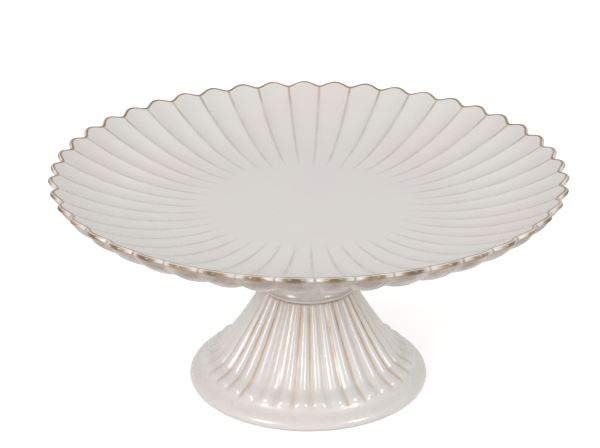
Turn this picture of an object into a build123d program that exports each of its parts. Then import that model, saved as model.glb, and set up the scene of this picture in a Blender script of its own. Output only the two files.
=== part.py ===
from build123d import *
import os
from math import cos, hypot, pi, radians, sin, tan

# Footed cake stand in glazed stoneware. Millimetres, +Z up. The origin is on the table,
# under the middle of the foot. -Y is the front: a notch between two petals and a groove
# between two ribs point that way.

# Overall sizes
overall_diameter = 270.0  # across the petal tips
overall_height = 122.0  # table to the crest of a petal tip

# Dish
petal_count = 45
well_depth = 21.2  # crest of a petal tip down to the flat floor
floor_radius = 60.0  # flat middle, where the cake sits
floor_thickness = 4.8
lip_thickness = 2.8  # rounded lip all round the rim
scallop_depth = 4.3  # a notch is this far in from a petal tip
scallop_drop = 2.2  # and this far below it
ridge_slope = 30.0  # degrees, wall beside the lip at a notch
petal_slope = 38.0  # degrees, wall beside the lip at a petal tip
ridge_under_slope = 55.0  # degrees, underside below the lip at a notch
petal_under_slope = 62.0  # and at a petal tip
ridge_under_reach = 18.0  # how far the underside keeps that slope: more makes a thicker wall
petal_under_reach = 23.0

# Collar, the smooth flared neck between foot and dish
collar_top_radius = 44.0
collar_top_edge = 2.4  # height of its upright top edge
collar_waist_pull = 6.6  # how far the neck is drawn in above its lower edge
collar_overhang = 1.2  # its lower edge stands this far out over the rib tops
collar_foot_edge = 1.6  # height of its upright lower edge
collar_wall = 5.4
dish_seat_margin = 2.0  # flat of the dish that shows round the collar

# Foot
foot_height = 53.6
neck_radius = 24.6  # over the ribs, at the top
rib_foot_height = 8.8  # where the rounded rib ends stand
rib_count = 36
neck_slope = 60.0  # degrees below horizontal, where the ribs leave the neck
rib_foot_slope = 39.0  # and where they run out onto the base
groove_depth_neck = 0.9
groove_depth_foot = 2.1
base_radius = 64.6
base_rim_width = 7.4  # smooth base, from the rib ends out to its edge
base_widest_height = 1.8
rest_ring_width = 5.6
foot_wall = 5.4
base_step = 0.5  # smooth base stands this far out of the rib ends

# Slip that joins the pieces
slip_thickness = 0.6
slip_fillet = 1.2

# How the curves are drawn, as shares that have no unit. 1/3 is an even cubic curve.
even = 1 / 3
petal_curl = 0.38  # a petal's middle turns up to the rim over a longer stretch than a ridge
trumpet_curl = 0.25  # the foot turns out to the base over a shorter stretch
round_lobe = 0.56  # breadth of a petal or lobe
rib_breadth = [0.45, 0.55, 0.7, 0.78]  # from the narrow ribs at the neck to the broad ends
rib_end_breadth = [0.78, 0.7, 0.5, even]
waist_height = 0.26  # of the collar's height, where its outside is drawn in most
flare_height = 0.8  # and where it starts to flare
bore_waist = 0.4  # of the outside's draw, how far the bore follows it
base_concave = (0.3, 0.42)  # of the base's run and fall: just outside the rib ends
base_convex = (1.0, 0.5)  # and just inside the widest edge
round_under = 0.5  # the widest edge turns under to the rest ring

# Places that follow from the sizes above
floor_height = overall_height - well_depth
seat_height = floor_height - floor_thickness
seat_radius = collar_top_radius + dish_seat_margin
rim_radius = overall_diameter / 2
rib_foot_radius = base_radius - base_rim_width
collar_foot_radius = neck_radius + collar_overhang
collar_bottom = foot_height + slip_thickness
collar_top = seat_height - slip_thickness
neck_bore = neck_radius - groove_depth_neck - foot_wall
collar_top_bore = collar_top_radius - collar_wall


def step_along(point, angle, length):
    """The point that lies a length away, at an angle in degrees above the horizontal."""
    return (point[0] + length * cos(radians(angle)), point[1] + length * sin(radians(angle)))


def distance(a, b):
    return hypot(b[0] - a[0], b[1] - a[1])


def profile_curve(start, start_angle, end, end_angle, end_share=even):
    """Four (radius, height) control points of a curve that leaves and arrives at set angles."""
    chord = distance(start, end)
    leave = step_along(start, start_angle, chord * even)
    arrive = step_along(end, end_angle + 180, chord * end_share)
    return [start, leave, arrive, end]


def row_across(edge, middle, half_pitch, fullness):
    """Four control points across one petal or rib, from edge to edge over its middle line.

    Edge and middle are (radius, height). The two inner points are placed so that the cubic
    curve passes through the middle, where it is a quarter edge and three quarters inner."""
    edge_x = edge[0] * cos(half_pitch)
    edge_y = edge[0] * sin(half_pitch)
    inner_x = (middle[0] * 4 - edge_x) / 3
    inner_z = (middle[1] * 4 - edge[1]) / 3
    return [
        (edge_x, -edge_y, edge[1]),
        (inner_x, -fullness * edge_y, inner_z),
        (inner_x, fullness * edge_y, inner_z),
        (edge_x, edge_y, edge[1]),
    ]


def lobed_strip(edge_profile, middle_profile, fullness, count):
    """One face a pitch wide. Its edges follow one profile and its middle line another."""
    rows = [
        row_across(edge, middle, pi / count, full)
        for edge, middle, full in zip(edge_profile, middle_profile, fullness)
    ]
    return Face.make_bezier_surface(rows)


def repeated(faces, count, first_angle):
    """Copies of the faces of one pitch, all round the axis from the first angle in degrees."""
    pitch = 360 / count
    return [face.rotate(Axis.Z, first_angle + pitch * i) for i in range(count) for face in faces]


def flat_cap(faces, height):
    """A flat face inside the closed ring of edges that the faces have at one height."""
    level = [
        edge
        for face in faces
        for edge in face.edges()
        if abs(edge.bounding_box().min.Z - height) < 1e-4
        and abs(edge.bounding_box().max.Z - height) < 1e-4
    ]
    return Face(Wire(level))


def ring_of(profile):
    """Solid of revolution of a closed outline of edges in the XZ plane."""
    return revolve(make_face(profile), axis=Axis.Z)


def upright(points):
    """(radius, height) pairs as points of the XZ plane."""
    return [(radius, 0, height) for radius, height in points]


def lip_centre(inset, drop):
    half = lip_thickness / 2
    return (rim_radius - half - inset, overall_height - half - drop)


def wall_curves(centre, slope, top_share, under_slope, under_reach):
    """Top, lip and underside control points of the wall, through one lip centre."""
    half = lip_thickness / 2
    lip_inner = step_along(centre, slope + 90, half)
    lip_outer = step_along(centre, under_slope - 90, half)
    lip_turn = radians(180 + slope - under_slope)
    reach = half * tan(lip_turn / 4) * 4 / 3  # makes the cubic curve of the lip a round one
    top = profile_curve((floor_radius, floor_height), 0, lip_inner, slope, top_share)
    lip = [
        lip_inner,
        step_along(lip_inner, slope, reach),
        step_along(lip_outer, under_slope, reach),
        lip_outer,
    ]
    under = profile_curve(lip_outer, under_slope + 180, (seat_radius, seat_height), 180)
    under[1] = step_along(lip_outer, under_slope + 180, under_reach)
    return top, lip, under


def make_dish():
    """Plate of petals: concave above, convex below, with a crest line between each two."""
    notch, tip = lip_centre(scallop_depth, scallop_drop), lip_centre(0, 0)
    ridge = wall_curves(notch, ridge_slope, even, ridge_under_slope, ridge_under_reach)
    petal = wall_curves(tip, petal_slope, petal_curl, petal_under_slope, petal_under_reach)
    fullness = [
        [even, round_lobe, round_lobe, round_lobe],
        [round_lobe] * 4,
        [round_lobe, round_lobe, round_lobe, even],
    ]
    strips = [
        lobed_strip(edge, middle, full, petal_count)
        for edge, middle, full in zip(ridge, petal, fullness)
    ]
    faces = repeated(strips, petal_count, 90)  # a petal to +Y, so a notch to the front
    caps = [flat_cap(faces, floor_height), flat_cap(faces, seat_height)]
    return Solid(Shell(faces + caps))


def rib_crest():
    """Control points of the trumpet that touches every rib, from the neck to the rib ends."""
    top = (neck_radius, foot_height)
    end = (rib_foot_radius - groove_depth_foot, rib_foot_height + groove_depth_foot)
    return profile_curve(top, -neck_slope, end, -rib_foot_slope, trumpet_curl)


def offset_curve(points, depths):
    """The control points moved in from the surface, square to the line through them."""
    moved = []
    last = len(points) - 1
    for i, (point, depth) in enumerate(zip(points, depths)):
        before, after = points[max(i - 1, 0)], points[min(i + 1, last)]
        run = distance(before, after)
        across = ((after[1] - before[1]) / run, (before[0] - after[0]) / run)
        moved.append((point[0] + across[0] * depth, point[1] + across[1] * depth))
    return moved


def rib_profiles():
    """Crest and groove of the long part of a rib, and of its rounded end."""
    crest = rib_crest()
    depth_step = (groove_depth_foot - groove_depth_neck) / 3
    depths = [groove_depth_neck + depth_step * i for i in range(4)]
    groove = offset_curve(crest, depths)
    groove[0] = (neck_radius - groove_depth_neck, foot_height)
    stand = (rib_foot_radius, rib_foot_height)
    round_over = groove_depth_foot * round_lobe
    crest_end = [crest[3], step_along(crest[3], -rib_foot_slope, round_over)]
    crest_end += [(rib_foot_radius, rib_foot_height + round_over), stand]
    groove_end = profile_curve(groove[3], -rib_foot_slope, stand, -rib_foot_slope / 2)
    return crest, groove, crest_end, groove_end


def make_ribbed_trumpet():
    crest, groove, crest_end, groove_end = rib_profiles()
    long_part = lobed_strip(groove, crest, rib_breadth, rib_count)
    rounded_end = lobed_strip(groove_end, crest_end, rib_end_breadth, rib_count)
    half_pitch = 180 / rib_count  # turns a groove, not a rib, to the front
    faces = repeated([long_part, rounded_end], rib_count, half_pitch)
    caps = [flat_cap(faces, foot_height), flat_cap(faces, rib_foot_height)]
    return Solid(Shell(faces + caps))


def make_base():
    """Smooth rounded base under the rib ends, filled in solid."""
    top = (rib_foot_radius + base_step, rib_foot_height)
    widest = (base_radius, base_widest_height)
    run, fall = widest[0] - top[0], top[1] - widest[1]
    shoulder = [
        top,
        (top[0] + run * base_concave[0], top[1] - fall * base_concave[1]),
        (top[0] + run * base_convex[0], top[1] - fall * base_convex[1]),
        widest,
    ]
    rest_outer = base_radius - base_widest_height
    edge = [
        widest,
        (widest[0], widest[1] * round_under),
        (rest_outer + base_widest_height * round_under, 0),
        (rest_outer, 0),
    ]
    outline = [
        Line((0, 0, rib_foot_height), (top[0], 0, top[1])),
        Bezier(*upright(shoulder)),
        Bezier(*upright(edge)),
        Line((rest_outer, 0, 0), (0, 0, 0)),
        Line((0, 0, 0), (0, 0, rib_foot_height)),
    ]
    return ring_of(outline)


def make_foot_hollow():
    """Space inside the foot: open below, and narrowing to the bore of the neck."""
    rest_inner = base_radius - base_widest_height - rest_ring_width
    crest = rib_crest()
    inner = offset_curve(crest, [foot_wall + groove_depth_foot] * 4)
    inner[0] = (neck_bore, foot_height)
    inner[3] = (rest_inner, 0)
    outline = [
        Bezier(*upright(inner)),
        Line((rest_inner, 0, 0), (0, 0, 0)),
        Line((0, 0, 0), (0, 0, foot_height)),
        Line((0, 0, foot_height), (neck_bore, 0, foot_height)),
    ]
    return ring_of(outline)


def make_pedestal():
    return make_ribbed_trumpet() + make_base() - make_foot_hollow()


def make_collar():
    """Smooth neck: a crisp lower edge over the rib tops, a waist, and a flare to the dish."""
    height = collar_top - collar_bottom
    outer = [
        (collar_foot_radius, collar_bottom + collar_foot_edge),
        (collar_foot_radius - collar_waist_pull, collar_bottom + height * waist_height),
        (collar_foot_radius, collar_bottom + height * flare_height),
        (collar_top_radius, collar_top - collar_top_edge),
    ]
    inner = [
        (neck_bore, collar_bottom),
        (neck_bore - collar_waist_pull * bore_waist, collar_bottom + height * waist_height),
        (neck_bore, collar_bottom + height * flare_height),
        (collar_top_bore, collar_top),
    ]
    outline = [
        Line((neck_bore, 0, collar_bottom), (collar_foot_radius, 0, collar_bottom)),
        Line((collar_foot_radius, 0, collar_bottom), upright(outer)[0]),
        Bezier(*upright(outer)),
        Line(upright(outer)[-1], (collar_top_radius, 0, collar_top)),
        Line((collar_top_radius, 0, collar_top), (collar_top_bore, 0, collar_top)),
        Bezier(*upright(reversed(inner))),
    ]
    return ring_of(outline)


def make_foot_slip():
    """Slip between foot and collar, with the bead that squeezes out inside the bore."""
    outer = neck_radius - groove_depth_neck - slip_thickness
    low, high = foot_height, collar_bottom
    corners = [(neck_bore, low), (outer, low), (outer, high), (neck_bore, high)]
    bead = (neck_bore - slip_fillet, (low + high) / 2)
    return ring_of(Polyline(*upright(corners + [bead]), close=True))


def make_dish_slip():
    """Slip between collar and dish, wiped to a fillet under the dish on both sides."""
    low, high = collar_top, seat_height
    inside = (collar_top_bore - slip_fillet, high)
    outside = (collar_top_radius + slip_fillet, high)
    corners = [(collar_top_bore, low), (collar_top_radius, low), outside, inside]
    return ring_of(Polyline(*upright(corners), close=True))


nodes = {
    "dish": make_dish(),
    "collar": make_collar(),
    "pedestal": make_pedestal(),
    "dish_joint_slip": make_dish_slip(),
    "foot_joint_slip": make_foot_slip(),
}

os.makedirs("parts", exist_ok=True)
for name, shape in nodes.items():
    export_step(shape, f"parts/{name}.step")
    box = shape.bounding_box()
    print(name, round(shape.volume), "mm3, low", box.min, "high", box.max)
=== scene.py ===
# %% [markdown]
# # A footed cake stand in glazed stoneware
#
# The stand is three clay pieces fired into one: a dish of 45 petals, a smooth flared neck,
# and a hollow foot with 36 ribs. A single ivory glaze covers them. It runs off the sharp
# edges, where the brown clay shows through, and it gathers in the grooves, where it turns
# to honey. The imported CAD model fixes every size. Here the same shapes get the softness,
# the beads and the glaze that a potter would see.

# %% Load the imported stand
from math import atan2, cos, degrees, hypot, pi, radians, sin, tan

import bpy
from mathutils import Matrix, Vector


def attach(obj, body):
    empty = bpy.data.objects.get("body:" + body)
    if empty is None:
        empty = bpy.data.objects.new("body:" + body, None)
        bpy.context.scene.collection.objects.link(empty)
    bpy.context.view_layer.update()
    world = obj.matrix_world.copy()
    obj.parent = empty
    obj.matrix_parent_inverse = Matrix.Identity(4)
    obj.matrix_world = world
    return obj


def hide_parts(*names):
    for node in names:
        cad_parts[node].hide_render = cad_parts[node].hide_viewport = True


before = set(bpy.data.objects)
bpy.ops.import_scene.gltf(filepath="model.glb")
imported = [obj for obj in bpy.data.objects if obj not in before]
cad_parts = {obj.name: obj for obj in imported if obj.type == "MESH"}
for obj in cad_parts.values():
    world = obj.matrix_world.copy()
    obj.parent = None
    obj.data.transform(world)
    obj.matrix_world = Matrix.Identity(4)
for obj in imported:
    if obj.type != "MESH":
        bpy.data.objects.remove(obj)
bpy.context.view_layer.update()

mm = 0.001

# %% [markdown]
# ## Drawing with operators
#
# Everything on this stand is a section carried round an axis. A section is drawn as a
# hand would draw it: one vertex, extruded from point to point. Sections side by side are
# then bridged into a skin, which is Blender's way of lofting. Where petals or ribs repeat,
# half of one is drawn, mirrored and copied round the axis. The sizes are in millimetres
# until a section is drawn, because that is how a potter thinks of them.


# %% Start a piece and draw a section
merge_distance = 0.005 * mm


def start_piece(name):
    """An empty mesh at the origin, open in edit mode."""
    bpy.ops.object.select_all(action="DESELECT")
    bpy.ops.mesh.primitive_plane_add(size=mm)
    piece = bpy.context.object
    piece.name = name
    piece.data.name = name
    bpy.ops.object.mode_set(mode="EDIT")
    bpy.ops.mesh.delete(type="VERT")
    return piece


def draw_section(points):
    """A chain of edges through points in millimetres, extruded from a single vertex."""
    places = [[value * mm for value in point] for point in points]
    bpy.ops.mesh.select_all(action="DESELECT")
    bpy.ops.mesh.primitive_plane_add(size=mm, location=places[0])
    bpy.ops.mesh.merge(type="CENTER")
    for start, end in zip(places, places[1:]):
        step = [b - a for a, b in zip(start, end)]
        bpy.ops.mesh.extrude_vertices_move(TRANSFORM_OT_translate={"value": step})


# %% Turn sections into a closed skin
def repeat_half_pitch(piece, count):
    """Bridge the sections of half a pitch, mirror the skin, and copy it round the axis."""
    bpy.ops.mesh.select_all(action="SELECT")
    bpy.ops.mesh.bridge_edge_loops()
    bpy.ops.object.mode_set(mode="OBJECT")
    bpy.ops.object.modifier_add(type="MIRROR")
    piece.modifiers["Mirror"].merge_threshold = merge_distance
    bpy.ops.object.modifier_apply(modifier="Mirror")
    bpy.ops.object.mode_set(mode="EDIT")
    bpy.ops.mesh.select_all(action="SELECT")
    turn = 2 * pi * (count - 1) / count
    bpy.ops.mesh.spin(steps=count - 1, dupli=True, angle=turn, center=(0, 0, 0), axis=(0, 0, 1))


def close_skin():
    """Merge the doubles, bridge the two open rings of a hollow piece, and face outwards."""
    bpy.ops.mesh.select_all(action="SELECT")
    bpy.ops.mesh.remove_doubles(threshold=merge_distance)
    bpy.ops.mesh.select_all(action="DESELECT")
    bpy.ops.mesh.select_mode(type="EDGE")
    bpy.ops.mesh.select_non_manifold()
    if bpy.context.object.data.total_edge_sel:
        bpy.ops.mesh.bridge_edge_loops()
    bpy.ops.mesh.select_mode(type="VERT")
    bpy.ops.mesh.select_all(action="SELECT")
    bpy.ops.mesh.normals_make_consistent(inside=False)


def finish_piece(piece, node):
    """Leave edit mode, smooth the shading and give the piece its place in the frame."""
    bpy.ops.object.mode_set(mode="OBJECT")
    bpy.ops.object.shade_smooth()
    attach(piece, "root")
    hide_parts(node)
    print(piece.name, "has", len(piece.data.polygons), "faces")


print("points closer than this are merged, in mm:", round(merge_distance / mm, 3))


# %% [markdown]
# ## Curves for the sections
#
# A clay wall seen in section is a few easy curves. Each is a cubic Bezier that leaves one
# point at a set slope and arrives at another, so a wall can be described by where it
# starts, where it ends and how steeply, just as it is in the CAD.


# %% Points, slopes and Bezier curves in a section
even = 1 / 3


def step_along(point, slope, length):
    """The point a length away, at a slope in degrees above the horizontal."""
    return (point[0] + length * cos(radians(slope)), point[1] + length * sin(radians(slope)))


def blend(a, b, share):
    """The value, or the point, that lies a share of the way from a to b."""
    if isinstance(a, tuple):
        return tuple(blend(p, q, share) for p, q in zip(a, b))
    return a + (b - a) * share


def slope_curve(start, start_slope, end, end_slope, end_share=even):
    """Control points of a curve that leaves and arrives at set slopes."""
    chord = hypot(end[0] - start[0], end[1] - start[1])
    leave = step_along(start, start_slope, chord * even)
    arrive = step_along(end, end_slope + 180, chord * end_share)
    return [start, leave, arrive, end]


def bezier_point(controls, share):
    """A point on a Bezier curve, found by halving in between again and again."""
    while len(controls) > 1:
        controls = [blend(a, b, share) for a, b in zip(controls, controls[1:])]
    return controls[0]


def bezier_points(controls, count):
    """Evenly shared points on the curve after its start, the end included."""
    return [bezier_point(controls, (i + 1) / count) for i in range(count)]


sample = slope_curve((0, 0), 0, (30, 10), 30)
print("halfway along a sample curve:", [round(v, 2) for v in bezier_point(sample, 0.5)])


# %% [markdown]
# ## The dish
#
# The dish is pressed in one mould. Forty-five petals run from a flat middle out to a
# scalloped rim. Each petal is hollow on top and swells underneath, and between two petals
# a crest stands up like the seam of a shell. One could carve that with proportional
# editing, but the crest would never come out even. Instead, two sections are worked out,
# one along a crest and one along the middle of a petal. Half a petal is a row of sections
# blended from the one to the other. Towards the rim the sharp crease opens into a soft
# wave, and the glaze fills its notches a little.

# %% Sizes of the dish, in millimetres
petal_count = 45
rim_radius = 134.97
rim_height = 121.98
floor_radius = 60.0
floor_height = 100.8
seat_radius = 46.0
seat_height = 96.0
lip_thickness = 2.8
scallop_depth = 4.3
scallop_drop = 2.2
crest_slope = 30.0
petal_slope = 38.0
crest_under_slope = 55.0
petal_under_slope = 62.0
crest_under_reach = 18.0
petal_under_reach = 23.0
petal_curl = 0.38
petal_fullness = 0.56
crest_softness = 0.18
notch_fill = 0.26
wavy_from = 114.0
wavy_by = 128.0
undercut = 0.6
undercut_shares = (0.5, 1.0, 0.8, 0.4, 0.1)
print("width of a petal at the rim in mm:", round(2 * pi * rim_radius / petal_count, 2))

# %% How finely the dish is drawn
floor_rings = (0, 8, 24, 42, 52, floor_radius)
seat_rings = (32, 18, 8, 0)
top_steps = 28
lip_steps = 10
under_steps = 26
under_crowding = 1.5
shares_across = [0.5, 0.56, 0.62, 0.68, 0.74, 0.8, 0.85, 0.89, 0.925, 0.955, 0.978, 0.991, 1.0]
print("sections in half a petal:", len(shares_across))


# %% Sections of the dish
def wall_sections(inset, drop, slope, curl, under_slope, under_reach):
    """Control points of the top, the lip and the underside of the wall."""
    half = lip_thickness / 2
    centre = (rim_radius - half - inset, rim_height - half - drop)
    lip_inner = step_along(centre, slope + 90, half)
    lip_outer = step_along(centre, under_slope - 90, half)
    reach = half * tan(radians(180 + slope - under_slope) / 4) * 4 / 3
    top = slope_curve((floor_radius, floor_height), 0, lip_inner, slope, curl)
    lip = [
        lip_inner,
        step_along(lip_inner, slope, reach),
        step_along(lip_outer, under_slope, reach),
        lip_outer,
    ]
    under = slope_curve(lip_outer, under_slope + 180, (seat_radius, seat_height), 180)
    under[1] = step_along(lip_outer, under_slope + 180, under_reach)
    return top, lip, under


def dish_section(top, lip, under):
    """Points from the middle of the floor, over the lip and back under to the seat."""
    floor = [(radius, floor_height) for radius in floor_rings]
    seat = [(radius, seat_height) for radius in seat_rings]
    shares = [((i + 1) / under_steps) ** under_crowding for i in range(under_steps)]
    below = [bezier_point(under, share) for share in shares]
    for i, share in enumerate(undercut_shares):
        below[i] = (below[i][0] - undercut * share, below[i][1])
    return floor + bezier_points(top, top_steps) + bezier_points(lip, lip_steps) + below + seat


def across_petal(crest_point, petal_point, share):
    """The place in space of a section point: share 1/2 is a petal's middle, and 1 a crest."""
    hollow = 4 * share * (1 - share)
    creased = (hypot(hollow, crest_softness) - crest_softness) / (
        hypot(1, crest_softness) - crest_softness
    )
    wavy = blend(notch_fill, 1, sin(pi * share) ** 2)
    near_rim = min(max((crest_point[0] - wavy_from) / (wavy_by - wavy_from), 0), 1)
    soft = blend(creased, wavy, near_rim**2)
    rest = 1 - share
    spread = share**3 - rest**3 + 3 * petal_fullness * share * rest * (share - rest)
    half_pitch = pi / petal_count
    outwards = blend(crest_point[0] * cos(half_pitch), petal_point[0], soft)
    sideways = outwards * tan(half_pitch) * spread
    return (sideways, outwards, blend(crest_point[1], petal_point[1], soft))


crest_wall = wall_sections(
    scallop_depth, scallop_drop, crest_slope, even, crest_under_slope, crest_under_reach
)
petal_wall = wall_sections(0, 0, petal_slope, petal_curl, petal_under_slope, petal_under_reach)
crest_section = dish_section(*crest_wall)
petal_section = dish_section(*petal_wall)
print("points in a section of the dish:", len(crest_section))

# %% Half a petal, mirrored and repeated
petal_dish = start_piece("petal_dish")
for share in shares_across:
    draw_section(
        [across_petal(crest, petal, share) for crest, petal in zip(crest_section, petal_section)]
    )
repeat_half_pitch(petal_dish, petal_count)
close_skin()
finish_piece(petal_dish, "dish")

# %% [markdown]
# ## The foot
#
# The foot is a trumpet that was pressed with 36 ribs. They are narrow at the neck and
# broad at the bottom, where each ends like a fingertip above a smooth rounded base. The
# trumpet is drawn first, as deep as its grooves. Every rib is then a swelling on it: a
# point inside the rib's outline is lifted by how far in from that outline it lies. That
# one rule gives both the round back of a rib and the round of its fingertip.

# %% Sizes of the foot, in millimetres
rib_count = 36
foot_height = 53.6
neck_radius = 24.6
rib_foot_radius = 57.2
rib_foot_height = 8.8
neck_slope = -60.0
rib_foot_slope = -39.0
groove_depth_neck = 0.9
groove_depth_foot = 2.1
base_radius = 64.6
base_step = 0.5
base_widest_height = 1.8
rest_ring_width = 5.6
foot_wall = 5.4
neck_bore = 18.3
rib_width_neck = 0.74
rib_width_foot = 0.84
fingertip_corner = 3.4
fingertip_depth = 0.48
fingertip_gap = 1.0
rib_round = 3.3
rib_back = 1.15
widest_corner = 0.9
groove_kept = 0.8
print("width of a rib and its groove at the foot in mm:", end=" ")
print(round(2 * pi * rib_foot_radius / rib_count, 2))

# %% How finely the foot is drawn
groove_steps = 36
pocket_steps = 20
shoulder_steps = 14
edge_steps = 6
hollow_steps = 22
turns_across = [1.0, 0.95, 0.9, 0.85, 0.8, 0.75, 0.69, 0.62, 0.54, 0.45, 0.34, 0.18, 0.0]
print("sections in half a rib:", len(turns_across))


# %% The line of the ribs and of the grooves
def slope_between(a, b):
    """Slope in degrees of the line from a to b."""
    return degrees(atan2(b[1] - a[1], b[0] - a[0]))


def moved_in(controls, depths):
    """The control points moved in from the surface, square to the line through them."""
    moved = []
    for i, (point, depth) in enumerate(zip(controls, depths)):
        before, after = controls[max(i - 1, 0)], controls[min(i + 1, 3)]
        moved.append(step_along(point, slope_between(before, after) - 90, depth))
    return moved


rib_line_end_share = 0.25
rib_line = slope_curve(
    (neck_radius, foot_height),
    neck_slope,
    (rib_foot_radius - groove_depth_foot, rib_foot_height + groove_depth_foot),
    rib_foot_slope,
    rib_line_end_share,
)
depths = [blend(groove_depth_neck, groove_depth_foot, i / 3) for i in range(4)]
groove_line = moved_in(rib_line, depths)
groove_line[0] = (neck_radius - groove_depth_neck, foot_height)
print("the groove starts at, in mm:", [round(v, 2) for v in groove_line[0]])

# %% The lines of the base and of the hollow
shoulder_out = 0.3
shoulder_down = 0.42
shoulder_upright = 0.5
base_top = (rib_foot_radius + base_step, rib_foot_height)
base_run = base_radius - base_top[0]
base_fall = rib_foot_height - base_widest_height
shoulder_line = [
    base_top,
    (base_top[0] + base_run * shoulder_out, base_top[1] - base_fall * shoulder_down),
    (base_radius, base_top[1] - base_fall * shoulder_upright),
    (base_radius, base_widest_height),
]
rest_outer = base_radius - base_widest_height
edge_line = [
    (base_radius, base_widest_height),
    (base_radius, base_widest_height / 2),
    (rest_outer + base_widest_height / 2, 0),
    (rest_outer, 0),
]
hollow_line = moved_in(rib_line, [foot_wall + groove_depth_foot] * 4)
hollow_line[0] = (neck_bore, foot_height)
hollow_line[3] = (rest_outer - rest_ring_width, 0)
smooth_points = bezier_points(shoulder_line, shoulder_steps) + bezier_points(edge_line, edge_steps)
hollow_points = [hollow_line[3]] + bezier_points(hollow_line[::-1], hollow_steps)
print("points below and inside the ribs:", len(smooth_points + hollow_points))

# %% The pocket that leads out of a groove on to the base
just_before = groove_kept - 0.01
pocket_start = bezier_point(groove_line, groove_kept)
pocket_slope = slope_between(bezier_point(groove_line, just_before), pocket_start)
shoulder_slope = slope_between(shoulder_line[0], shoulder_line[1])
pocket_line = slope_curve(pocket_start, pocket_slope, base_top, shoulder_slope)
groove_shares = [groove_kept * i / groove_steps for i in range(groove_steps + 1)]
groove_points = [bezier_point(groove_line, share) for share in groove_shares]
ribbed_points = groove_points + bezier_points(pocket_line, pocket_steps)
print("points down a rib:", len(ribbed_points))


# %% How high a rib stands
def rib_height(across, width, to_end, depth):
    """Height in millimetres at a distance across from the rib's middle line."""
    corner = min(fingertip_corner, width * widest_corner)
    past_side = across - (width - corner)
    past_end = corner - to_end
    past_corner = hypot(max(past_side, 0), max(past_end, 0))
    outside = past_corner + min(max(past_side, past_end), 0) - corner
    inwards = min(max(-outside, 0) / min(rib_round, width), 1)
    return depth * (1 - (1 - inwards) ** 2) ** rib_back


def lengths_to_end(points):
    """Length along the line from each point to the fingertip, which ends before the base."""
    lengths = [-fingertip_gap]
    for a, b in zip(points[::-1], points[-2::-1]):
        lengths.append(lengths[-1] + hypot(b[0] - a[0], b[1] - a[1]))
    return lengths[::-1]


def rib_section(turn):
    """Points down the trumpet at a turn from a rib's middle: 0 is on it, 1 in the groove."""
    section = []
    to_end = lengths_to_end(ribbed_points)
    last = len(ribbed_points) - 1
    for i, point in enumerate(ribbed_points):
        down = i / last
        half_pitch_width = point[0] * pi / rib_count
        width = half_pitch_width * blend(rib_width_neck, rib_width_foot, down)
        in_pocket = max(i + 1 - len(groove_points), 0) / pocket_steps
        depth = blend(groove_depth_neck, groove_depth_foot, down)
        depth *= blend(1, fingertip_depth, in_pocket)
        before, after = ribbed_points[max(i - 1, 0)], ribbed_points[min(i + 1, last)]
        lift = rib_height(turn * half_pitch_width, width, to_end[i], depth)
        lifted = step_along(point, slope_between(before, after) + 90, lift)
        section.append((lifted[0], min(lifted[1], foot_height)))
    return section + smooth_points + hollow_points


print("points in a section of the foot:", len(rib_section(1.0)))

# %% Half a rib and half a groove, mirrored and repeated
ribbed_foot = start_piece("ribbed_foot")
for turn in turns_across:
    angle = (1 - turn) * pi / rib_count
    draw_section([(r * sin(angle), r * cos(angle), height) for r, height in rib_section(turn)])
repeat_half_pitch(ribbed_foot, rib_count)
close_skin()
finish_piece(ribbed_foot, "pedestal")

# %% [markdown]
# ## The neck
#
# The neck was turned on a wheel, so it is round everywhere: a small roll at its lower
# edge, a waist, and a flare up to the dish. Spin is the wheel: the section is drawn once
# and spun. Both edges are drawn round, because glaze rounds every edge.

# %% Lines of the neck, in millimetres
collar_bottom = 54.2
collar_top = 95.4
collar_height = collar_top - collar_bottom
waist_height = collar_bottom + collar_height * 0.26
flare_height = collar_bottom + collar_height * 0.8
waist_pull = 19.2
flare_pull = 25.8
bore_waist_pull = 2.64
roll_radius = 26.2
roll_end = (25.2, 56.2)
brim_start = (43.6, 92.8)
seat_inner_radius = 38.6
collar_roll = [(24.4, collar_bottom), (roll_radius, collar_bottom), (roll_radius, 56.0), roll_end]
collar_outer = [roll_end, (waist_pull, waist_height), (flare_pull, flare_height), brim_start]
collar_brim = [brim_start, (44.1, 93.1), (44.0, 94.2), (44.0, collar_top)]
collar_inner = [
    (seat_inner_radius, collar_top),
    (neck_bore, flare_height),
    (neck_bore - bore_waist_pull, waist_height),
    (neck_bore, collar_bottom),
]
print("height of the neck in mm:", round(collar_height, 2))

# %% The neck, spun
roll_steps = 10
outer_steps = 30
brim_steps = 5
bore_steps = 20
wheel_steps = 192
collar_section = collar_roll[:1] + bezier_points(collar_roll, roll_steps)
collar_section += bezier_points(collar_outer, outer_steps)
collar_section += bezier_points(collar_brim, brim_steps)
collar_section += collar_inner[:1] + bezier_points(collar_inner, bore_steps)
flared_collar = start_piece("flared_collar")
draw_section([(0, radius, height) for radius, height in collar_section])
bpy.ops.mesh.select_all(action="SELECT")
bpy.ops.mesh.spin(steps=wheel_steps, angle=2 * pi, center=(0, 0, 0), axis=(0, 0, 1))
close_skin()
finish_piece(flared_collar, "collar")

# %% [markdown]
# ## Reading where the glaze lies
#
# The glaze follows the shape, so the materials must know where they are on it. Nothing is
# painted by hand. From an object's own coordinates a few sums give the radius, the height
# and how far a point lies from the nearest join between two petals or two ribs. They are
# wrapped in a node group, so that every material can ask the same question.


# %% Short ways to add nodes
def feed(tree, socket, value):
    """Link another socket to this one, or set its value."""
    if isinstance(value, bpy.types.NodeSocket):
        tree.links.new(value, socket)
    else:
        socket.default_value = value


def add_node(tree, kind, inputs, **settings):
    """A node with its settings made, and its inputs either set or linked to a socket."""
    made = tree.nodes.new(kind)
    for name, value in settings.items():
        setattr(made, name, value)
    for name, value in inputs.items():
        feed(tree, made.inputs[name], value)
    return made


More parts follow.
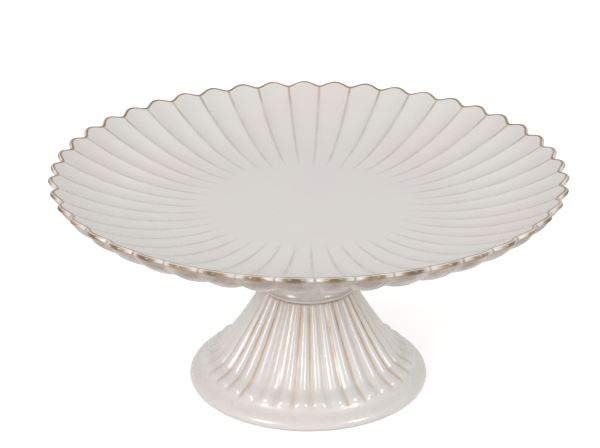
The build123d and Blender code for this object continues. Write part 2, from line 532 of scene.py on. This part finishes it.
def sum_of(tree, operation, first, second=0.0, third=0.0):
    """The result of one sum."""
    inputs = {0: first, 1: second, 2: third}
    return add_node(tree, "ShaderNodeMath", inputs, operation=operation).outputs[0]


def product_of(tree, first, *others):
    """All the values multiplied."""
    for other in others:
        first = sum_of(tree, "MULTIPLY", first, other)
    return first


def largest_of(tree, first, *others):
    """The largest of the values."""
    for other in others:
        first = sum_of(tree, "MAXIMUM", first, other)
    return first


def length_of(tree, across, up):
    """The straight length whose two sides are across and up."""
    squares = [sum_of(tree, "POWER", side, 2.0) for side in (across, up)]
    return sum_of(tree, "SQRT", sum_of(tree, "ADD", *squares))


def fade(tree, value, start, end, low=0.0, high=1.0):
    """An easy change from low to high as the value goes from start to end."""
    inputs = {"Value": value, "From Min": start, "From Max": end, "To Min": low, "To Max": high}
    node = add_node(tree, "ShaderNodeMapRange", inputs, interpolation_type="SMOOTHSTEP")
    return node.outputs["Result"]


def mixed(tree, share, first, second):
    """Two colours mixed: none of the second at share 0, and only the second at 1."""
    inputs = {"Factor": share, "A": first, "B": second}
    node = tree.nodes.new("ShaderNodeMix")
    node.data_type = "RGBA"
    for socket in node.inputs:
        if socket.type in ("RGBA", "VALUE") and socket.enabled and socket.name in inputs:
            feed(tree, socket, inputs[socket.name])
    return next(socket for socket in node.outputs if socket.enabled)


# %% Short ways to make and place a group
def new_group(name, inputs, outputs):
    """A node group with named sockets, and its two end nodes."""
    tree = bpy.data.node_groups.new(name, "ShaderNodeTree")
    for socket, kind in inputs.items():
        tree.interface.new_socket(socket, in_out="INPUT", socket_type=kind)
    for socket, kind in outputs.items():
        tree.interface.new_socket(socket, in_out="OUTPUT", socket_type=kind)
    return tree, tree.nodes.new("NodeGroupInput"), tree.nodes.new("NodeGroupOutput")


def use_group(tree, group, inputs):
    """The group placed in a material, with its inputs set or linked."""
    made = tree.nodes.new("ShaderNodeGroup")
    made.node_tree = group
    for name, value in inputs.items():
        feed(tree, made.inputs[name], value)
    return made.outputs


number = "NodeSocketFloat"
colour = "NodeSocketColor"
print("a group's sockets are of the kinds", number, "and", colour)

# %% Where a point lies round the axis
place_group, given, result = new_group(
    "place_round_axis",
    {"Pitches": number},
    {
        "From Join": number,
        "Join Distance": number,
        "Join Number": number,
        "Radius": number,
        "Height": number,
    },
)
tree = place_group
where = add_node(tree, "ShaderNodeTexCoord", {}).outputs["Object"]
part = add_node(tree, "ShaderNodeSeparateXYZ", {"Vector": where}).outputs
radius = length_of(tree, part["X"], part["Y"])
angle = sum_of(tree, "ARCTAN2", part["X"], product_of(tree, part["Y"], -1.0))
count = given.outputs["Pitches"]
pitches = sum_of(tree, "DIVIDE", product_of(tree, angle, count), 2 * pi)
from_join = product_of(tree, sum_of(tree, "PINGPONG", pitches, 0.5), 2.0)
half_pitch_length = sum_of(tree, "DIVIDE", product_of(tree, radius, pi), count)
answers = {
    "From Join": from_join,
    "Join Distance": product_of(tree, from_join, half_pitch_length),
    "Join Number": sum_of(tree, "FLOORED_MODULO", sum_of(tree, "ROUND", pitches), count),
    "Radius": radius,
    "Height": part["Z"],
}
for name, answer in answers.items():
    tree.links.new(answer, result.inputs[name])
print("place group nodes:", len(tree.nodes))

# %% [markdown]
# ## One glaze
#
# The glaze is a glossy ivory with a faint pearl in it, greener here and pinker there. Where
# it is thin it breaks to a warm brown, where it is thick it turns to honey, and where iron
# from the clay has come through it is stained grey. The same grey and honey also serve as
# painted shade, and the honey as a painted reflection, where the dish shades its own
# underside and the neck. A group holds those colours once. It also gives the slow ripple
# that any poured glaze has, and the small change in gloss that goes with it.

# %% The glaze's colour, from how thin or thick it lies, and from painted shade
glaze_group, given, result = new_group(
    "ivory_glaze_colour",
    {"Thin": number, "Thick And Painted Light": number, "Stain And Painted Shade": number},
    {"Colour": colour, "Ripple": number, "Roughness": number},
)
tree = glaze_group
ivory = (0.62, 0.585, 0.56, 1)
pearl_green = (0.605, 0.592, 0.56, 1)
pearl_pink = (0.62, 0.576, 0.556, 1)
# The grey and the honey are glaze colours that also serve as painted shade, and the honey as a
# painted reflection too.
iron_grey_and_painted_shade = (0.27, 0.22, 0.185, 1)
honey_and_painted_light = (0.50, 0.36, 0.22, 1)
deep_honey = (0.26, 0.165, 0.08, 1)
gold_brown = (0.28, 0.185, 0.10, 1)
clay_brown = (0.13, 0.085, 0.05, 1)
slow_scale = 22.0
fine_scale = 95.0
fine_share = 0.12
where = add_node(tree, "ShaderNodeTexCoord", {}).outputs["Object"]
slow = add_node(tree, "ShaderNodeTexNoise", {"Vector": where, "Scale": slow_scale, "Detail": 1.0})
fine = add_node(tree, "ShaderNodeTexNoise", {"Vector": where, "Scale": fine_scale, "Detail": 2.0})
cloud = slow.outputs["Fac"]
specks = fine.outputs["Fac"]
body = mixed(tree, fade(tree, cloud, 0.42, 0.7), ivory, pearl_green)
body = mixed(tree, fade(tree, cloud, 0.55, 0.35), body, pearl_pink)
patchy = fade(tree, specks, 0.3, 0.65, 0.55, 1.0)
thick_and_painted_light = product_of(tree, given.outputs["Thick And Painted Light"], patchy)
thin = product_of(tree, given.outputs["Thin"], patchy)
stain_and_painted_shade = product_of(tree, given.outputs["Stain And Painted Shade"], patchy)
body = mixed(tree, stain_and_painted_shade, body, iron_grey_and_painted_shade)
body = mixed(tree, fade(tree, thick_and_painted_light, 0.0, 0.6), body, honey_and_painted_light)
body = mixed(tree, fade(tree, thick_and_painted_light, 0.55, 1.0), body, deep_honey)
body = mixed(tree, fade(tree, thin, 0.0, 0.6), body, gold_brown)
body = mixed(tree, fade(tree, thin, 0.6, 1.0), body, clay_brown)
tree.links.new(body, result.inputs["Colour"])
ripple = sum_of(tree, "ADD", cloud, product_of(tree, specks, fine_share))
tree.links.new(ripple, result.inputs["Ripple"])
tree.links.new(fade(tree, specks, 0.3, 0.7, 0.2, 0.3), result.inputs["Roughness"])
print("glaze group nodes:", len(tree.nodes))


# %% A glazed material
ripple_height = 1.5 * mm
ripple_strength = 0.4


def glazed_material(name):
    """A material with a glossy shader, and the shader itself."""
    material = bpy.data.materials.new(name)
    material.use_nodes = True
    shader = material.node_tree.nodes["Principled BSDF"]
    shader.inputs["Coat Weight"].default_value = 0.5
    shader.inputs["Coat Roughness"].default_value = 0.13
    shader.inputs["Coat IOR"].default_value = 1.5
    return material, shader


def pour_glaze(tree, shader, thin, thick_and_painted_light, stain_and_painted_shade=0.0):
    """The glaze's colour, gloss and ripple linked to the shader."""
    glaze = use_group(tree, glaze_group, {"Thin": thin, "Thick And Painted Light": thick_and_painted_light, "Stain And Painted Shade": stain_and_painted_shade})
    tree.links.new(glaze["Colour"], shader.inputs["Base Color"])
    tree.links.new(glaze["Roughness"], shader.inputs["Roughness"])
    ripple = {"Height": glaze["Ripple"], "Distance": ripple_height, "Strength": ripple_strength}
    bump = add_node(tree, "ShaderNodeBump", ripple)
    tree.links.new(bump.outputs["Normal"], shader.inputs["Normal"])


def facing_up(tree):
    """How far the surface faces up: 1 on a floor, 0 on an upright wall, -1 underneath."""
    normal = add_node(tree, "ShaderNodeNewGeometry", {}).outputs["Normal"]
    return add_node(tree, "ShaderNodeSeparateXYZ", {"Vector": normal}).outputs["Z"]


print("height of the glaze's ripple in mm:", round(ripple_height / mm, 2))

# %% [markdown]
# ## Glaze on the dish
#
# On the dish the glaze is thin round the lip, where it breaks to brown, and a little thin
# along the outer end of each crest. A fine grey-brown line of iron follows every crest. The
# same grey is painted on the wall just under the rim as painted shade, with a little honey
# that is partly glaze run down from the lip and partly painted shade. The glaze is thick in
# the pinched grooves underneath. The lip is found by its centre line, which runs in and out,
# up and down with the petals.

# %% Dish material: the way round the lip
dish_glaze, shader = glazed_material("dish_glaze")
tree = dish_glaze.node_tree
place = use_group(tree, place_group, {"Pitches": float(petal_count)})
half_lip = lip_thickness / 2
wave_sharpness = 1.15
notch_out = (rim_radius - half_lip - scallop_depth) * mm
notch_up = (rim_height - half_lip - scallop_drop) * mm
from_middle = sum_of(
    tree, "POWER", sum_of(tree, "SUBTRACT", 1.0, place["From Join"]), wave_sharpness
)
wave = sum_of(tree, "COSINE", product_of(tree, from_middle, pi / 2))
wave_squared = sum_of(tree, "POWER", wave, 2.0)
swell = sum_of(tree, "MULTIPLY_ADD", wave_squared, 1 - notch_fill, notch_fill)
lip_out = sum_of(tree, "MULTIPLY_ADD", swell, scallop_depth * mm, notch_out)
lip_up = sum_of(tree, "MULTIPLY_ADD", swell, scallop_drop * mm, notch_up)
past_lip = sum_of(tree, "SUBTRACT", place["Radius"], lip_out)
above_lip = sum_of(tree, "SUBTRACT", place["Height"], lip_up)
lip_distance = length_of(tree, past_lip, above_lip)
lip_angle = product_of(tree, sum_of(tree, "ARCTAN2", above_lip, past_lip), 180 / pi)
print("the lip's centre line in a notch, in mm:", round(notch_out / mm, 2), round(notch_up / mm, 2))

# %% Dish material: brown where the lip is worn
near_lip = fade(tree, lip_distance, 2.3 * mm, 1.5 * mm)
line_outside = fade(tree, lip_angle, 66.0, 92.0)
line_inside = fade(tree, lip_angle, 150.0, 126.0, 0.0, 0.8)
inner_line = product_of(tree, line_outside, line_inside)
worn_middle = fade(tree, place["From Join"], 0.2, 0.8, 0.2, 1.0)
worn_notch = fade(tree, place["From Join"], 0.14, 0.0, 0.0, 0.6)
facing_out = fade(tree, lip_angle, 78.0, 36.0)
outer_face = product_of(tree, facing_out, largest_of(tree, worn_middle, worn_notch))
lip_thin = product_of(tree, largest_of(tree, inner_line, outer_face), near_lip)
print("dish glaze nodes so far:", len(tree.nodes))

# %% Dish material: grey along the crests, honey and painted shade underneath
crest_line_edge = 1.25 * mm
crest_line_core = 0.1 * mm
upward = facing_up(tree)
on_top = fade(tree, upward, -0.1, 0.2)
underneath = fade(tree, upward, 0.1, -0.2)
crest_width = fade(tree, place["Join Distance"], crest_line_edge, crest_line_core)
crest_line = product_of(tree, crest_width, on_top)
thin_from = fade(tree, place["Radius"], 108.0 * mm, 127.0 * mm, 0.0, 0.3)
grey_from = fade(tree, place["Radius"], 50.0 * mm, 68.0 * mm, 0.0, 0.42)
thin = largest_of(tree, lip_thin, product_of(tree, crest_line, thin_from))
crest_stain = product_of(tree, crest_line, grey_from)
# Painted shade: grey, and a little honey, on the underside just below the lip, where the dish
# shades itself.
below_lip = fade(tree, lip_distance, 22.0 * mm, 1.2 * mm, 0.0, 1.2)
underside_painted_shade = product_of(tree, below_lip, underneath)
run_down_and_painted_shade = fade(tree, lip_distance, 9.0 * mm, 1.4 * mm, 0.0, 0.12)
pinch = fade(tree, place["From Join"], 0.35, 0.0, 0.0, 0.3)
pinched = product_of(tree, pinch, fade(tree, place["Radius"], 70.0 * mm, 120.0 * mm))
thick_and_painted_light = product_of(tree, largest_of(tree, run_down_and_painted_shade, pinched), underneath)
pour_glaze(tree, shader, thin, thick_and_painted_light, largest_of(tree, crest_stain, underside_painted_shade))
print("dish glaze nodes:", len(tree.nodes))

# %% [markdown]
# ## Glaze on the foot and the neck
#
# On the foot it is the other way round. The grooves are narrow, so the glaze gathers in
# them and turns to honey, most of all high up where they are closest. No two grooves keep
# the same amount, so each draws its share from a noise that is fed its number. A band of
# honey round the top of the foot is partly pooled glaze and partly painted shade from the
# dish above. The ring that the stand rests on was wiped bare before firing, or it would
# have stuck to the kiln shelf. The neck is honey at both ends: at its lower edge this is
# pooled glaze, and at its top it is partly pooled glaze and partly a painted reflection of
# the dish's underside. The whole neck is also tinted warm and grey as painted shade.

# %% Foot material
foot_glaze, shader = glazed_material("foot_glaze")
tree = foot_glaze.node_tree
place = use_group(tree, place_group, {"Pitches": float(rib_count)})
groove = fade(tree, place["From Join"], 0.38, 0.04)
groove_number = {"W": place["Join Number"]}
chance = add_node(tree, "ShaderNodeTexWhiteNoise", groove_number, noise_dimensions="1D")
share_kept = fade(tree, chance.outputs["Value"], 0.1, 0.9, 0.3, 1.35)
ribs_end = (rib_foot_radius - 0.5) * mm
base_starts = (rib_foot_radius + 1.5) * mm
on_ribs = fade(tree, place["Radius"], base_starts, ribs_end)
closeness = fade(tree, place["Height"], 9.0 * mm, 40.0 * mm, 0.3, 0.75)
outside = fade(tree, facing_up(tree), -0.1, 0.1)
pooled = product_of(tree, groove, on_ribs, closeness, outside, share_kept)
# Partly glaze pooled near the neck and partly painted shade, where the dish shades the top of the
# foot.
neck_pool_and_painted_shade = fade(tree, place["Height"], 36.0 * mm, 53.0 * mm, 0.0, 0.22)
wiped = fade(tree, place["Height"], 0.5 * mm, 0.15 * mm, 0.0, 0.55)
pour_glaze(tree, shader, wiped, largest_of(tree, pooled, neck_pool_and_painted_shade))
print("foot glaze nodes:", len(tree.nodes))

# %% Neck material, tinted with painted shade
# Painted shade: the whole neck is tinted warm and grey, as the dish above shades it.
neck_painted_warm_shade = 0.14
neck_painted_grey_shade = 0.24
neck_glaze, shader = glazed_material("neck_glaze")
tree = neck_glaze.node_tree
place = use_group(tree, place_group, {"Pitches": 1.0})
low_pool = fade(tree, place["Height"], 57.5 * mm, 54.4 * mm, 0.0, 0.3)
# Partly glaze pooled under the dish and partly a painted reflection of the dish's brown underside.
high_pool_and_painted_reflection = fade(tree, place["Height"], 88.0 * mm, 95.0 * mm, 0.0, 0.3)
pour_glaze(tree, shader, 0.0, largest_of(tree, low_pool, high_pool_and_painted_reflection, neck_painted_warm_shade), neck_painted_grey_shade)
print("neck glaze nodes:", len(tree.nodes))

# %% [markdown]
# ## The slip in the joints
#
# The three clay pieces were stuck together with slip, which is clay let down with water.
# It shows only as a thin ring in each seam. It is matt and sandy, so its colour and its
# bump come from a fine grain.

# %% Slip material
dark_sand = (0.50, 0.40, 0.30, 1)
light_sand = (0.62, 0.54, 0.45, 1)
grain_height = 0.2 * mm
fired_slip = bpy.data.materials.new("fired_slip")
fired_slip.use_nodes = True
tree = fired_slip.node_tree
shader = tree.nodes["Principled BSDF"]
where = add_node(tree, "ShaderNodeTexCoord", {}).outputs["Object"]
sand = add_node(tree, "ShaderNodeTexNoise", {"Vector": where, "Scale": 900.0, "Detail": 3.0})
grain = sand.outputs["Fac"]
tree.links.new(mixed(tree, grain, dark_sand, light_sand), shader.inputs["Base Color"])
tree.links.new(fade(tree, grain, 0.3, 0.7, 0.55, 0.8), shader.inputs["Roughness"])
rough = {"Height": grain, "Distance": grain_height, "Strength": 0.6}
bump = add_node(tree, "ShaderNodeBump", rough)
tree.links.new(bump.outputs["Normal"], shader.inputs["Normal"])
print("slip nodes:", len(tree.nodes))

# %% Give each piece its finish
finishes = {
    petal_dish: dish_glaze,
    ribbed_foot: foot_glaze,
    flared_collar: neck_glaze,
    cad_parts["dish_joint_slip"]: fired_slip,
    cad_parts["foot_joint_slip"]: fired_slip,
}
for piece, material in finishes.items():
    if not piece.material_slots:
        piece.data.materials.append(material)
    for slot in piece.material_slots:
        slot.material = material
    print(piece.name, "takes", material.name)

# %% [markdown]
# ## Camera, table and light
#
# A long lens looks a little down on the stand, so that the dish opens towards us and the
# foot still shows. The table is plain white paper. Two soft boxes stand left and right,
# low enough to reach the foot under the dish, and a pale room fills in the rest. The lens
# sees the paper and the room brighter than they light the stand, as a white backdrop.

# %% Camera
look_down = 24.035
look_right = 0.965
camera_data = bpy.data.cameras.new("camera")
camera = bpy.data.objects.new("camera", camera_data)
bpy.context.scene.collection.objects.link(camera)
camera_data.sensor_width = 36.0
camera_data.lens = 105.2
camera.location = (-0.0188, -0.8469, 0.4668)
camera.rotation_euler = (radians(90 - look_down), 0, radians(-look_right))
bpy.context.scene.camera = camera
print("the camera looks down by", look_down, "degrees with a lens of", camera_data.lens, "mm")

# %% Table of white paper
table_size = 8.0
paper_glow = 0.31
bpy.ops.object.select_all(action="DESELECT")
bpy.ops.mesh.primitive_plane_add(size=table_size)
table = bpy.context.object
table.name = "table"
paper = bpy.data.materials.new("white_paper")
paper.use_nodes = True
tree = paper.node_tree
shader = tree.nodes["Principled BSDF"]
shader.inputs["Base Color"].default_value = (0.9, 0.9, 0.9, 1)
shader.inputs["Roughness"].default_value = 0.9
shader.inputs["Emission Color"].default_value = (1, 1, 1, 1)
seen = add_node(tree, "ShaderNodeLightPath", {}).outputs["Is Camera Ray"]
tree.links.new(product_of(tree, seen, paper_glow), shader.inputs["Emission Strength"])
table.data.materials.append(paper)
print("the table is", table_size, "m square")


# %% Soft boxes
aimed_at = Vector((0, 0, 0.06))
box_width = 0.35
box_height = 0.5


def soft_box(name, place, power):
    """A soft box that looks at the middle of the stand."""
    lamp = bpy.data.lights.new(name, "AREA")
    lamp.shape = "RECTANGLE"
    lamp.size = box_width
    lamp.size_y = box_height
    lamp.energy = power
    holder = bpy.data.objects.new(name, lamp)
    holder.location = place
    aim = aimed_at - Vector(place)
    holder.rotation_euler = aim.to_track_quat("-Z", "Y").to_euler()
    bpy.context.scene.collection.objects.link(holder)
    print(name, "gives", power, "W")


soft_box("left_box", (-0.82, -0.84, 0.7), power=7.0)
soft_box("right_box", (0.85, -0.78, 0.76), power=5.2)

# %% Room
room_light = 0.77
room_seen = 1.1
room = bpy.data.worlds.new("pale_room")
room.use_nodes = True
tree = room.node_tree
tree.nodes["Background"].inputs["Color"].default_value = (1, 1, 1, 1)
seen = add_node(tree, "ShaderNodeLightPath", {}).outputs["Is Camera Ray"]
strength = fade(tree, seen, 0.0, 1.0, room_light, room_seen)
tree.links.new(strength, tree.nodes["Background"].inputs["Strength"])
bpy.context.scene.world = room
bpy.context.scene.view_settings.view_transform = "Standard"
print("the room lights the stand at", room_light)
